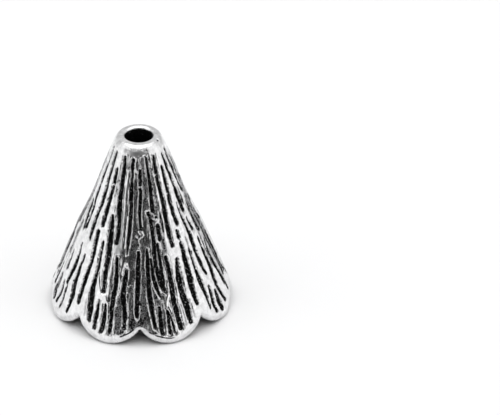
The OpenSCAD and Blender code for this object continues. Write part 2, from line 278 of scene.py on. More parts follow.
# Random hills and hollows. Columns: across as an angle, along, seed.
fields = {
    "fineRag": [0.9, 0.13, 7], "coarseRag": [2.5, 0.4, 8], "tarnishDrift": [3, 0.7, 9],
    "burrs": [5, 1.1, 10], "shade": [4, 1.5, 11], "squiggles": [2.2, 0.26, 31],
    "wires": [3, 0.35, 33], "blotches": [2.2, 0.5, 34], "collarBorder": [12, 4, 51],
    "collarLumps": [8, 0.22, 52], "boreBorder": [11, 0.3, 61],
}
fieldFoot, fieldTop = -2, 22  # heights between which the random fields run

tilt = math.atan(cap["taper"])  # how far the cone leans in from upright


def coneRadius(height):
    return cap["coneRadius"] - cap["taper"] * height


def smooth(low, high, value):
    # 0 up to the low value, 1 from the high one, with a soft rise between
    share = np.clip((value - low) / (high - low), 0, 1)
    return share * share * (3 - 2 * share)


def fade(distance, core, end=1):
    # 1 within the core, falling softly to 0 at the end
    return 1 - smooth(core, end, distance)


def atLeast(least, share):
    return least + (1 - least) * share


# The shoulder bends in two steps: a wide arc up from the cone, then a tight one to the top.
shoulderTurn = math.radians(cap["shoulderTurn"])
shoulderTop = cap["height"] - cap["shoulder"] * (1 - math.sin(shoulderTurn))
slopeHeight = shoulderTop - cap["slope"] * math.sin(shoulderTurn)
shoulderFoot = slopeHeight + cap["slope"] * math.sin(tilt)
footRadius = coneRadius(shoulderFoot) - sum(size for low, high, size in cap["flare"])
slopeRadius = footRadius - cap["slope"] * math.cos(tilt)
topFlat = slopeRadius + (cap["slope"] - cap["shoulder"]) * math.cos(shoulderTurn)


def outerRadius(height):
    # the cone narrows a little faster halfway up, and bends in at the shoulder
    flare = sum(size * smooth(low, high, height) for low, high, size in cap["flare"])
    bend = slopeRadius + np.sqrt(np.maximum(0, cap["slope"] ** 2 - (height - slopeHeight) ** 2))
    return np.where(height > shoulderFoot, bend, coneRadius(height) - flare)


def waves(angle, height, across, length, seed):
    # soft random hills and hollows from -1 to 1, which close up round the cone
    columns = max(4, round(360 / across))
    rows = int((fieldTop - fieldFoot) / length) + 3
    grid = np.random.default_rng(seed).uniform(-1, 1, (columns, rows))
    column = np.mod(angle, 360) / 360 * columns
    row = np.clip((height - fieldFoot) / length, 0, rows - 2)
    left, low = np.floor(column).astype(int), np.floor(row).astype(int)
    aside, up = (part * part * (3 - 2 * part) for part in (column - left, row - low))
    left, right = left % columns, (left + 1) % columns
    bottom = grid[left, low] * (1 - aside) + grid[right, low] * aside
    top = grid[left, low + 1] * (1 - aside) + grid[right, low + 1] * aside
    return bottom * (1 - up) + top * up


def field(name, angle, height):
    return waves(angle, height, *fields[name])


def wander(height, length, seed):
    # a random course from -1 to 1 up the cone: broad waves, read at one angle
    return waves(np.zeros_like(height), height, 90, length, seed)


# The rim. Each lobe is a disc that leans along the cone's edge, from its tip to the
# notch on each side of it.
notchRadius = coneRadius(rim["notchHeight"])
lobeHalfAngle = math.pi / rim["lobes"]
notchAcross = notchRadius * math.sin(lobeHalfAngle)
notchInset = cap["coneRadius"] - notchRadius * math.cos(lobeHalfAngle)
discTilt = math.pi / 2 - math.atan2(notchInset, rim["notchHeight"])
discRise = math.hypot(notchInset, rim["notchHeight"])
discRadius = (notchAcross ** 2 + discRise ** 2) / (2 * discRise)
discX = cap["coneRadius"] - discRadius * math.cos(discTilt)
discZ = discRadius * math.sin(discTilt)


def lobeAngle(angle):
    # angle from the middle of the nearest lobe, in radians
    step = 2 * lobeHalfAngle
    return np.mod(np.radians(angle), step) - step / 2


def rimHeight(angle):
    # height of the scalloped edge, where a line up the cone meets the disc's circle
    turn = np.abs(lobeAngle(angle))
    outStart = (cap["coneRadius"] * np.cos(turn) - discX) * math.cos(discTilt) + discZ * math.sin(discTilt)
    outRise = -cap["taper"] * np.cos(turn) * math.cos(discTilt) - math.sin(discTilt)
    sideStart = cap["coneRadius"] * np.sin(turn)
    sideRise = -cap["taper"] * np.sin(turn)
    square = outRise ** 2 + sideRise ** 2
    line = 2 * (outStart * outRise + sideStart * sideRise)
    plain = outStart ** 2 + sideStart ** 2 - discRadius ** 2
    return (-line - np.sqrt(line ** 2 - 4 * square * plain)) / (2 * square)


def rimDistance(angle, height):
    # distance from the scalloped edge, measured up along the cone's surface
    turn = np.abs(lobeAngle(angle))
    radius = coneRadius(height)
    sideways = radius * np.sin(turn)
    outwards = (radius * np.cos(turn) - discX) * math.cos(discTilt) - (height - discZ) * math.sin(discTilt)
    notchOut = discRadius - discRise
    pastNotch = sideways * notchOut > notchAcross * outwards
    fromNotch = np.hypot(sideways - notchAcross, outwards - notchOut)
    return np.where(pastNotch, fromNotch, discRadius - np.hypot(sideways, outwards))


def rimBand(angle, height):
    # distance from the edge, how far up the upright band reaches, and nearness to a notch
    notch = smooth(rim["notchFrom"], 1, np.abs(lobeAngle(angle)) / lobeHalfAngle)
    band = rim["edge"] + rim["bandTip"] + (rim["bandNotch"] - rim["bandTip"]) * notch
    return rimDistance(angle, height), band, notch


def rimInset(angle, height):
    # how far the rounded edge and the upright band above it stand inside the cone
    away, band, notch = rimBand(angle, height)
    under = band - away
    upright = 0.5 * (under + np.sqrt(under ** 2 + rim["blend"] ** 2))
    upright = upright * smooth(-rim["blendReach"], 0, under)
    foot = rim["footSlope"] * (1 - notch) / (2 * rim["footReach"])
    foot = foot * np.clip(rim["footReach"] + np.minimum(under, 0), 0, rim["footReach"]) ** 2
    left = np.clip(rim["edge"] - away, 0, rim["edge"])
    rounding = rim["edge"] - np.sqrt(rim["edge"] ** 2 - left ** 2)
    return cap["taper"] * upright + foot + rounding


def rimCrease(angle, height):
    # a thin dark line above the band, drawn over short stretches
    away, band = rimBand(angle, height)[:2]
    line = fade(np.abs(away - band - rim["creaseAbove"]) / rim["creaseWidth"], rim["creaseCore"])
    drawn = np.zeros_like(line)
    outer, inner = rim["creaseEnds"]
    for local in sectors(angle):
        for low, high in rim["creases"]:
            begun = smooth(low - outer, low + inner, local)
            ended = smooth(high - inner, high + outer, local)
            drawn = np.maximum(drawn, begun * (1 - ended))
    return line * drawn


def curve(values, share):
    # smooth curve through evenly spaced values
    last = len(values) - 1
    left = np.clip(np.floor(share * last).astype(int), 0, last - 1)
    part = share * last - left
    padded = np.array([2 * values[0] - values[1], *values, 2 * values[-1] - values[-2]])
    before, start, end, after = (padded[left + i] for i in range(4))
    cubic = 3 * (start - end) + after - before
    bend = 2 * before - 5 * start + 4 * end - after + part * cubic
    return start + 0.5 * part * (end - before + part * bend)


def sectors(angle):
    # angles as the chart counts them, once for each time that it goes round
    apart, turns = 360 / groove["repeats"], range(groove["repeats"])
    return [np.mod(angle - groove["turn"] - turn * apart + 180, 360) - 180 for turn in turns]


def patches(angle, height, places):
    # soft round patches: the amount of the place in its middle, and 0 away from it
    amounts = np.zeros_like(height)
    for local in sectors(angle):
        for middle, level, halfWidth, halfHeight, amount in places:
            away = np.hypot((local - middle) / halfWidth, (height - level) / halfHeight)
            amounts = np.maximum(amounts, fade(away, *skin["patchEdge"]) * amount)
    return amounts


def within(local, height, angles, heights, reach):
    # numbers of the points that lie between these angles and heights, or in reach of them
    aside, above = reach
    level = (height > min(heights) - above) & (height < max(heights) + above)
    return np.flatnonzero(level & (local > min(angles) - aside) & (local < max(angles) + aside))


def wireShare(angle, height):
    # nearness to the thin raised lines: 1 on a line, 0 away from it
    nearness = np.zeros_like(height)
    wobble = field("wires", angle, height) * groove["wireWobble"]
    for local in sectors(angle):
        local = local + wobble
        for line in wires:
            for (angle0, height0), (angle1, height1) in zip(line, line[1:]):
                near = within(local, height, (angle0, angle1), (height0, height1), groove["wireReach"])
                radius = outerRadius(height[near])
                across, up = np.radians(angle1 - angle0) * radius, (height1 - height0) / math.cos(tilt)
                x = np.radians(local[near] - angle0) * radius
                y = (height[near] - height0) / math.cos(tilt)
                share = np.clip((x * across + y * up) / (across ** 2 + up ** 2), 0, 1)
                away = np.hypot(x - share * across, y - share * up) / groove["wireWidth"]
                nearness[near] = np.maximum(nearness[near], fade(away, groove["wireCore"]))
    return nearness


def grooveShape(number, local, height):
    # how far inside the outline of one groove the points lie, and its full depth there
    top, foot, share, course, widths = chart[number]
    down = np.clip((top - height) / (top - foot), 0, 1)
    wobble = wander(height, groove["wobbleLength"], groove["wobbleSeed"] + number) * groove["wobble"]
    swell = 1 + wander(height, groove["swellLength"], groove["swellSeed"] + number) * groove["swell"]
    radius = outerRadius(height)
    half = np.radians(curve(widths, down) / 2) * radius * swell
    across = np.radians(local - (curve(course, down) + wobble)) * radius
    roundTop = top - math.radians(widths[0] / 2) * outerRadius(top)
    roundFoot = foot + math.radians(widths[-1] / 2) * outerRadius(foot)
    beyond = np.maximum(0, np.maximum(height - roundTop, roundFoot - height)) / math.cos(tilt)
    midWidth = math.radians(widths[len(widths) // 2]) * outerRadius((top + foot) / 2)
    full = min(groove["deepest"], groove["depthPerWidth"] * midWidth + groove["depthFrom"])
    full = full * atLeast(groove["footDepth"], smooth(0, groove["footRamp"], height - foot))
    return half - np.hypot(across, beyond), full


def grooveField(angle, height):
    # depth of the grooves, share of tarnish with painted shade on the ridges beside them, and share of
    # rubbed metal along the edges
    depth, tarnish, raised, rubbed = np.zeros((4, len(height)))
    sideways = smooth(*groove["front"], np.abs(sectors(angle)[0]))
    calmer = 1 - groove["sideCalm"] * sideways
    ragged = field("fineRag", angle, height) + groove["coarse"] * field("coarseRag", angle, height)
    ragged = ragged * groove["raggedness"] - groove["bridge"] * patches(angle, height, bridges)
    drift = field("tarnishDrift", angle, height) * groove["tarnishDrift"]
    burred = groove["burr"] * smooth(*groove["burrSpread"], field("burrs", angle, height)) * calmer
    # painted shade on the ridges' flanks, weaker near the rim and at the sides
    shaded = groove["shade"] * smooth(*groove["shadeSpread"], field("shade", angle, height))
    shaded = shaded * atLeast(groove["shadeLow"], smooth(*groove["shadeRise"], height)) * calmer
    higher, front, aside = (size * smooth(low, high, height) for low, high, size in groove["widenings"])
    widen = groove["widen"] + higher + front * (1 - sideways) - aside * sideways
    burrOut, burrTop, burrIn = groove["burrEdge"]
    softLow, softHigh, softDepth = groove["softEdge"]
    for local in sectors(angle):
        for number, (top, foot, share, course, widths) in enumerate(chart):
            near = within(local, height, course, (foot, top), groove["reach"])
            if not len(near):
                continue
            inside, full = grooveShape(number, local[near], height[near])
            inside = inside + ragged[near] + widen[near]
            footEnd = fade(height[near] - foot, *groove["footEnd"])
            fall = smooth(softLow, softHigh, inside) * softDepth
            fall = fall + smooth(*groove["steepEdge"], inside) * (full - softDepth)
            depth[near] = np.maximum(depth[near], fall * share)
            burr = smooth(burrOut, burrTop, inside) * (1 - smooth(burrTop, burrIn, inside))
            burr = burr * burred[near] * share * (1 - groove["footBurrLoss"] * footEnd)
            raised[near] = np.maximum(raised[near], burr)
            rubbed[near] = np.maximum(rubbed[near], burr / groove["burr"])
            stained = inside + drift[near] + groove["footTarnish"] * footEnd
            stained = smooth(*groove["tarnishEdge"], stained)
            # the painted shade is kept off the burrs and goes into the tarnish share
            shade = smooth(*groove["shadeEdge"], inside) * shaded[near] * (1 - rubbed[near])
            tarnish[near] = np.maximum(tarnish[near], np.maximum(stained, shade) * share)
    wire = wireShare(angle, height)
    raised = np.maximum(raised, wire * groove["wireLift"])
    return depth * (1 - wire) - raised, tarnish * (1 - wire), np.maximum(rubbed, wire)


def collarShare(angle, height):
    # the mottled band, whose borders are wavy and whose ends are soft
    local = sectors(angle)[0]
    (low, high), ends = collar["angles"], collar["ends"]
    wavy = field("collarBorder", angle, height) * collar["wavy"]
    level = smooth(*collar["foot"], height) * (1 - smooth(*collar["top"], height + wavy))
    return level * smooth(low - ends, low + ends, local) * (1 - smooth(high - ends, high + ends, local))


def surface(angle, height):
    # outside of the casting up to the shoulder: its radius, shares of tarnish and of matte
    depth, tarnish, rubbed = grooveField(angle, height)
    unrubbed = 1 - rubbed
    lift = sum(waves(angle, height, across, length, seed) * size
               for across, length, size, seed in skin["waves"])
    lift = lift * atLeast(skin["calm"], 1 - smooth(skin["calmFrom"], shoulderFoot, height))
    rough = patches(angle, height, roughPatches)
    squiggles = field("squiggles", angle, height)
    lift = lift + squiggles * rough * skin["squiggle"]
    tarnish = np.maximum(tarnish, smooth(*skin["squiggleTarnish"], -squiggles) * rough * unrubbed)
    away, band = rimBand(angle, height)[:2]
    onBand = 1 - smooth(*rim["bandEdge"], away - band)
    blotches = (1 + skin["blotchy"] * field("blotches", angle, height)) * (1 - onBand)
    # stains, and painted shade down the right side
    tarnish = np.maximum(tarnish, patches(angle, height, stainsAndShade) * blotches * unrubbed)
    # painted shade on the upright band, standing in for the shadowed floor that it mirrors
    tarnish = np.maximum(tarnish, rim["bandShade"] * onBand)
    crease = rimCrease(angle, height)
    lift = lift + patches(angle, height, pads) - crease * rim["crease"]
    tarnish = np.maximum(tarnish, crease)
    mottled, lumps = collarShare(angle, height), field("collarLumps", angle, height)
    lift = lift + lumps * mottled * collar["lift"]
    least, more = collar["tarnish"]
    tarnish = np.maximum(tarnish, mottled * (least + more * smooth(*collar["tarnishSpread"], -lumps)))
    # matte patches, one of them painted shade down the right side
    matte = patches(angle, height, mattesAndShade) * unrubbed
    return outerRadius(height) - rimInset(angle, height) - depth + lift, tarnish, matte


def capProfile():
    # half section of the wall, once round: (radius, height, cuts up to the next point)
    edge, shoulder, wall, holeEdge = rim["edge"], cap["shoulder"], cap["wall"], cap["holeEdge"]
    inner, hole, roof, top = rim["innerEdge"], cap["holeRadius"], cap["roof"], cap["height"]
    innerBend = 0.3 * inner  # near the middle of the inner edge's quarter circle
    steps, roofEdge, (cornerIn, cornerDown) = cap["arcSteps"], cap["roofEdge"], cap["roofCorner"]
    points = []
    for i in range(steps):  # rounded lower edge, spaced along its quarter circle
        rise = edge * (1 - math.cos(math.radians(90 * i / steps)))
        points.append((coneRadius(rise), rise, 0))
    points.append((coneRadius(edge), edge, int((shoulderTop - edge) / cap["rowStep"])))
    for i in range(steps):  # shoulder, round to the flat top
        turn = shoulderTurn + (math.pi / 2 - shoulderTurn) * i / steps
        points.append((topFlat + shoulder * math.cos(turn), top - shoulder + shoulder * math.sin(turn), 0))
    points.append((topFlat, top, cap["topCuts"]))
    for i in range(steps):  # rounded edge of the hole
        turn = math.radians(90 * i / steps)
        points.append((hole + holeEdge * (1 - math.sin(turn)), top - holeEdge * (1 - math.cos(turn)), 0))
    points += [
        (hole, top - holeEdge, cap["boreCuts"]),
        (hole, roof + roofEdge, 0),
        (hole + roofEdge, roof, cap["levelCuts"]),
        (coneRadius(roof) - wall - cornerIn, roof, 0),
        (coneRadius(roof - cornerDown) - wall, roof - cornerDown, int(roof / cap["innerStep"])),
        (coneRadius(inner) - wall, inner, 0),
        (coneRadius(0) - wall + innerBend, innerBend, 0),
        (coneRadius(0) - wall + inner, 0, cap["levelCuts"]),
    ]
    return points


def inOrder(bm):
    # a spin puts its edges and faces in another order each run, so they are made again in
    # order of their places, and thinning then leaves the same triangles each time
    for number, vert in enumerate(sorted(bm.verts, key=lambda vert: vert.co[:])):
        vert.index = number
    bm.verts.sort()
    faces = sorted(([vert.index for vert in face.verts] for face in bm.faces), key=sorted)
    ordered = bmesh.new()
    verts = [ordered.verts.new(vert.co) for vert in bm.verts]
    for corners in faces:
        ordered.faces.new([verts[number] for number in corners])
    bm.free()
    return ordered


def turnCap():
    # the plain turned shape: the wall's section spun round the axis
    bm = bmesh.new()
    profile = capProfile()
    corners = [bm.verts.new((0, -radius, height)) for radius, height, cuts in profile]
    edges = [bm.edges.new((corners[i], corners[(i + 1) % len(corners)])) for i in range(len(corners))]
    for edge, (radius, height, cuts) in zip(edges, profile):
        if cuts:
            bmesh.ops.subdivide_edges(bm, edges=[edge], cuts=cuts)
    bmesh.ops.spin(
        bm, geom=bm.verts[:] + bm.edges[:], cent=(0, 0, 0), axis=(0, 0, 1),
        angle=2 * math.pi, steps=cap["panels"], use_merge=True,
    )
    bm = inOrder(bm)
    rings = [edge for edge in bm.edges if abs(edge.verts[0].co.z - edge.verts[1].co.z) < hair
             and abs(edge.verts[0].co.xy.length - edge.verts[1].co.xy.length) < cap["spinError"]]
    bmesh.ops.subdivide_edges(bm, edges=rings, cuts=cap["panelCuts"])
    halfPanel = math.pi / cap["panels"]
    for vert in bm.verts:  # from the panels' chords back out to the circle
        across = (math.atan2(vert.co.x, -vert.co.y) % (2 * halfPanel)) - halfPanel
        vert.co.xy *= math.cos(across) / math.cos(halfPanel)
    bmesh.ops.recalc_face_normals(bm, faces=bm.faces[:])
    mesh = bpy.data.meshes.new("endCap")
    bm.to_mesh(mesh)
    bm.free()
    print("end cap turned:", len(mesh.vertices), "vertices")
    return mesh


def readPlaces(mesh):
    # angle from the front, distance from the axis and height of each vertex
    places = np.empty(len(mesh.vertices) * 3, np.float32)
    mesh.vertices.foreach_get("co", places)
    x, y, z = places.reshape(-1, 3).astype(float).T
    return np.degrees(np.arctan2(x, -y)), np.hypot(x, y), z


def isOutside(radius, height, top):
    # the wall's outer side, up to a height
    return (radius > outerRadius(height) - 0.5 * cap["wall"]) & (height < top)


def sculpt(mesh):
    # vertex moves: the rim is lifted into lobes, then the outside takes its grooves
    angle, radius, height = readPlaces(mesh)
    land = (height < hair) & (radius < coneRadius(0) - hair)  # the level underside
    outside = isOutside(radius, height, shoulderTop + hair) & ~land
    lifted = height + rimHeight(angle) * (1 - smooth(0, rim["liftReach"], height))
    moved = radius + coneRadius(lifted) - coneRadius(height)
    moved[outside] = surface(angle[outside], lifted[outside])[0]
    landWidth = cap["wall"] - rim["innerEdge"]
    share = 1 - (coneRadius(0) - radius[land]) / landWidth
    outerEdge = surface(angle[land], lifted[land])[0]
    innerEdge = coneRadius(lifted[land]) - landWidth
    moved[land] = innerEdge + (outerEdge - innerEdge) * share
    lifted = lifted - pitShare(angle, radius, height) * skin["pitDepth"]
    hole, top, edge = cap["holeRadius"], cap["height"], cap["holeEdge"]
    mouth = (radius < hole + edge + hair) & (height > top - edge - hair)
    larger = holeUneven(angle)[mouth]
    moved[mouth] = hole + (radius[mouth] - hole) * larger
    lifted[mouth] = top - (top - height[mouth]) * larger
    turn = np.radians(angle)
    places = np.stack([moved * np.sin(turn), -moved * np.cos(turn), lifted], 1)
    mesh.vertices.foreach_set("co", places.astype(np.float32).ravel())
    mesh.update()
    print("rim and grooves cut")


def holeUneven(angle):
    # the hole's rounded edge is larger at the back than in front
    return 1 - cap["holeUneven"] * np.cos(np.radians(angle))


def pitShare(angle, radius, height):
    # the small casting pit beside the hole
    aside = np.radians(angle - skin["pitAngle"]) * skin["pitRadius"]
    away = np.hypot(aside, radius - skin["pitRadius"]) / skin["pitSize"]
    return fade(away, skin["pitCore"]) * (height > shoulderTop)


def countTriangles(mesh):
    return sum(len(face.vertices) - 2 for face in mesh.polygons)


def thin(piece, triangles):
    # fewer triangles where the surface is plain, with the modifier applied; the flat top
    # and the pit keep theirs
    angle, radius, height = readPlaces(piece.data)
    kept = (height > cap["height"] - hair) | (pitShare(angle, radius, height) > skin["pitShown"])
    group = piece.vertex_groups.new(name="kept")
    group.add(np.flatnonzero(kept).tolist(), 1, "REPLACE")
    count = countTriangles(piece.data)
    decimate = piece.modifiers.new("thin", "DECIMATE")
    decimate.ratio = triangles / count
    decimate.vertex_group, decimate.invert_vertex_group = group.name, True
    depsgraph = bpy.context.evaluated_depsgraph_get()
    thinned = bpy.data.meshes.new_from_object(piece.evaluated_get(depsgraph))
    piece.modifiers.clear()
    piece.vertex_groups.clear()
    piece.data = thinned
    print("thinned from", count, "to", countTriangles(thinned), "triangles")


def outsideNormals(angle, height):
    # the sculpted surface's own slope, so that the polish stays smooth on thinned faces
    step, turn = 0.01, 0.1  # up in millimetres, round in degrees
    radius = surface(angle, height)[0]
    rise = (surface(angle, height + step)[0] - surface(angle, height - step)[0]) / (2 * step)
    across = surface(angle + turn, height)[0] - surface(angle - turn, height)[0]
    across = across / (2 * math.radians(turn)) / radius
    sine, cosine = np.sin(np.radians(angle)), np.cos(np.radians(angle))
    normals = np.stack([sine - across * cosine, -cosine - across * sine, -rise], 1)
    return normals / np.linalg.norm(normals, axis=1)[:, None]


def finishCap(piece):
    # tarnish and matte as attributes, smooth normals, and the inner faces in a second material, a darker
    # copy of the silver that paints shade into the hollow
    mesh = piece.data
    angle, radius, height = readPlaces(mesh)
    outside = isOutside(radius, height, shoulderTop)
    tarnish, matte = np.zeros((2, len(mesh.vertices)))
    tarnish[outside], matte[outside] = surface(angle[outside], height[outside])[1:]
    drop = cap["height"] - height
    boreSide, boreBelow = bore["reach"]
    inBore = (radius < cap["holeRadius"] + boreSide) & (height > cap["roof"] - boreBelow)
    border = drop + field("boreBorder", angle, height) * bore["ragged"]
    border = border - bore["tarnishFrom"] * holeUneven(angle)
    tarnish[inBore] = smooth(*bore["tarnishEdge"], border)[inBore]
    tarnish = np.maximum(tarnish, pitShare(angle, radius, height))
    fromRim = rimDistance(angle, height)
    undersideReach, undersideDepth = rim["underside"]
    underside = (fromRim < undersideReach) & (radius > coneRadius(height) - undersideDepth)
    inside = ~outside & (height < cap["roof"] + bore["roofReach"]) & ~underside
    tarnish[inside] = 1
    # the tarnish and matte attributes also carry painted shade: beside the grooves, on the band and down the
    # right side
    for name, values in (("tarnish", tarnish), ("matte", matte)):
        attribute = mesh.attributes.new(name, "FLOAT", "POINT")
        attribute.data.foreach_set("value", values.astype(np.float32))
    mesh.shade_smooth()
    normals = np.zeros((len(mesh.vertices), 3))
    carved = outside & (fromRim > rim["carvedFrom"])
    normals[carved] = outsideNormals(angle[carved], height[carved])
    mesh.normals_split_custom_set_from_vertices(normals.tolist())
    faces = mesh.polygons
    corners = np.empty(len(mesh.loops), np.int32)
    mesh.loops.foreach_get("vertex_index", corners)
    starts = np.empty(len(faces), np.int32)
    faces.foreach_get("loop_start", starts)
    # the inner faces and the deep bore take the darker copy of the silver, as painted shade
    dark = inside | inBore & (drop > bore["darkFrom"])
    faces.foreach_set("material_index", dark[corners[starts]].astype(np.int32))
    mesh.transform(Matrix.Scale(mm, 4))
    print("cap finished:", int(dark.sum()), "vertices inside")


def addNode(tree, kind, inputs=None, **settings):
    node = tree.nodes.new(kind)
    for name, value in settings.items():
        setattr(node, name, value)
    for name, value in (inputs or {}).items():
        if isinstance(value, bpy.types.NodeSocket):
            tree.links.new(value, node.inputs[name])
        else:
            node.inputs[name].default_value = value
    return node


def calculate(tree, operation, *values, clamped=False):
    inputs = dict(enumerate(values))
    return addNode(tree, "ShaderNodeMath", inputs, operation=operation, use_clamp=clamped).outputs[0]


def carry(tree, value, start, end=(0, 1), kind="LINEAR"):
    # a value carried over from one range to another
    inputs = {"Value": value, "From Min": start[0], "From Max": start[1], "To Min": end[0], "To Max": end[1]}
    return addNode(tree, "ShaderNodeMapRange", inputs, interpolation_type=kind).outputs[0]


def mix(tree, kind, share, first, second):
    # the Mix node keeps its numbers and its colours in sockets of their own
    place, result = {"FLOAT": (2, 0), "RGBA": (6, 2)}[kind]
    inputs = {0: share, place: first, place + 1: second}
    return addNode(tree, "ShaderNodeMix", inputs, data_type=kind).outputs[result]


def noise(tree, place, scale, detail):
    inputs = {"Vector": place, "Scale": scale, "Detail": detail}
    return addNode(tree, "ShaderNodeTexNoise", inputs).outputs["Fac"]


def emptyTree(owner):
    # the node tree of a material or world, with nothing in it yet
    owner.use_nodes = True
    owner.node_tree.nodes.clear()
    return owner.node_tree


def newGroup(name, numbers, results):
    # a node group that takes a place and numbers, and gives numbers
    group = bpy.data.node_groups.new(name, "ShaderNodeTree")
    sockets = [("Place", "INPUT", "NodeSocketVector")]
    sockets += [(number, "INPUT", "NodeSocketFloat") for number in numbers]
    sockets += [(result, "OUTPUT", "NodeSocketFloat") for result in results]
    for socket, direction, kind in sockets:
        group.interface.new_socket(socket, in_out=direction, socket_type=kind)
    return group, addNode(group, "NodeGroupInput").outputs, addNode(group, "NodeGroupOutput").inputs


# Noise scales are per millimetre. An edge is the range of values that is spread from 0 to 1.
effects = {
    "crumble": 9.0, "crumbleDetail": 4.0, "tarnishEdge": (0.34, 0.6),
    "specks": 8.0, "speckEdge": (0.61, 0.69), "detail": 2.0,
    "drift": 2.2, "streaks": 1.2, "streaksRound": 34, "streakDetail": 3.0,
}


def tarnishAndShadeGroup():
    # ragged black tarnish, with the painted shade that the charted amount also carries: the amount is broken
    # up by noise, with bright specks left in it
    group, given, out = newGroup("raggedTarnishAndShade", ["Amount", "Ragged", "Specks"], ["Mask"])
    crumble = noise(group, given["Place"], effects["crumble"], effects["crumbleDetail"])
    centred = calculate(group, "SUBTRACT", crumble, 0.5)
    shifted = calculate(group, "MULTIPLY_ADD", centred, given["Ragged"], given["Amount"])
    mask = carry(group, shifted, effects["tarnishEdge"], kind="SMOOTHSTEP")
    specks = noise(group, given["Place"], effects["specks"], effects["detail"])
    bright = carry(group, specks, effects["speckEdge"])
    cleared = calculate(group, "MULTIPLY", bright, given["Specks"])
    left = calculate(group, "SUBTRACT", 1.0, cleared)
    group.links.new(calculate(group, "MULTIPLY", mask, left), out["Mask"])
    return group


def grainGroup():
    # cast grain: fine lumps, streaks that run up the cone, and a slow drift of tone
    group, given, out = newGroup("castGrain", ["Fineness"], ["Height", "Streaks", "Tone"])
    grain = noise(group, given["Place"], given["Fineness"], effects["detail"])
    drift = noise(group, given["Place"], effects["drift"], effects["streakDetail"])
    parts = addNode(group, "ShaderNodeSeparateXYZ", {0: given["Place"]}).outputs
    flat = addNode(group, "ShaderNodeCombineXYZ", {"X": parts["X"], "Y": parts["Y"]})
    facing = addNode(group, "ShaderNodeVectorMath", {0: flat.outputs[0]}, operation="NORMALIZE")
    height = addNode(group, "ShaderNodeCombineXYZ", {"Z": parts["Z"]})
    inputs = {0: facing.outputs[0], 1: (effects["streaksRound"],) * 3, 2: height.outputs[0]}
    ring = addNode(group, "ShaderNodeVectorMath", inputs, operation="MULTIPLY_ADD").outputs[0]
    streaks = noise(group, ring, effects["streaks"], effects["streakDetail"])
    for name, result in (("Height", grain), ("Streaks", streaks), ("Tone", drift)):
        group.links.new(result, out[name])
    return group


groups = {"tarnish": tarnishAndShadeGroup(), "grain": grainGroup()}

antiqueSilver = {
    "silver": (0.93, 0.93, 0.935, 1), "dullAndShadedSilver": (0.38, 0.38, 0.386, 1),
    "black": (0.003, 0.003, 0.003, 1), "left": 0.3,
    "polish": 0.1, "dullPolish": 0.3, "matte": 0.55, "soot": 0.6, "gloss": 0.025,
    "ragged": 1.3, "specks": 0.8, "fineness": 9.0,
    "ridgeGrain": 0.6, "floorGrain": 1.0, "grainHeight": 0.012 * mm,
}
# A darker, rougher copy of the silver for the inner faces and the deep bore: it paints shade into the
# hollow.
shadedHollowSilver = {
    "silver": (0.4, 0.4, 0.4, 1), "dullAndShadedSilver": (0.25, 0.25, 0.25, 1),
    "black": (0.003, 0.003, 0.003, 1), "left": 0.1,
    "polish": 0.4, "dullPolish": 0.6, "matte": 0.6, "soot": 0.6, "gloss": 0.05,
    "ragged": 0.8, "specks": 0.1, "fineness": 5.0,
    "ridgeGrain": 0.8, "floorGrain": 1.0, "grainHeight": 0.02 * mm,
}
# How much drift of tone, matte and tarnish each dim the silver's colour, and where streaks show. The matte
# and tarnish shares also carry painted shade.
wear = {"toneSpread": (0.35, 0.7), "tone": 0.4, "matte": 0.6, "tarnish": 1.8, "streakSpread": (0.35, 0.68)}


def makeSilver(name, finish):
    material = bpy.data.materials.new(name)
    tree = emptyTree(material)
    place = addNode(tree, "ShaderNodeTexCoord").outputs["Object"]
    place = addNode(tree, "ShaderNodeMapping", {"Vector": place, "Scale": (1 / mm,) * 3}).outputs[0]
    charted = addNode(tree, "ShaderNodeAttribute", attribute_name="tarnish").outputs["Fac"]
    matte = addNode(tree, "ShaderNodeAttribute", attribute_name="matte").outputs["Fac"]
    inputs = {"Place": place, "Amount": charted, "Ragged": finish["ragged"], "Specks": finish["specks"]}
    mask = addNode(tree, "ShaderNodeGroup", inputs, node_tree=groups["tarnish"]).outputs["Mask"]
    inputs = {"Place": place, "Fineness": finish["fineness"]}
    grain = addNode(tree, "ShaderNodeGroup", inputs, node_tree=groups["grain"]).outputs
    worn = carry(tree, grain["Tone"], wear["toneSpread"], (0, wear["tone"]))
    greyed = calculate(tree, "MULTIPLY_ADD", matte, wear["matte"], worn)
    # tarnish and matte dim the silver's colour, and with them the painted shade that they carry
    dulledAndShaded = calculate(tree, "MULTIPLY_ADD", charted, wear["tarnish"], greyed, clamped=True)
    metal = mix(tree, "RGBA", dulledAndShaded, finish["silver"], finish["dullAndShadedSilver"])
    brushed = carry(tree, grain["Streaks"], wear["streakSpread"], (finish["polish"], finish["dullPolish"]))
    bare = mix(tree, "FLOAT", matte, brushed, finish["matte"])
    lumps = carry(tree, mask, (0, 1), (finish["ridgeGrain"], finish["floorGrain"]))
    relief = calculate(tree, "MULTIPLY_ADD", grain["Height"], lumps, grain["Streaks"])
    bump = addNode(tree, "ShaderNodeBump", {"Height": relief, "Distance": finish["grainHeight"]})
    shader = addNode(tree, "ShaderNodeBsdfPrincipled", {
        "Base Color": mix(tree, "RGBA", mask, metal, finish["black"]),
        "Roughness": mix(tree, "FLOAT", mask, bare, finish["soot"]),
        "Metallic": carry(tree, mask, (0, 1), (1, finish["left"])),
        "Normal": bump.outputs[0], "Specular IOR Level": finish["gloss"],
    })
    addNode(tree, "ShaderNodeOutputMaterial", {"Surface": shader.outputs[0]})
    return material


def addObject(name, data):
    thing = bpy.data.objects.new(name, data)
    bpy.context.scene.collection.objects.link(thing)
    return thing


ground = {"size": 0.1, "white": (0.8, 0.8, 0.803, 1), "roughness": 0.6}


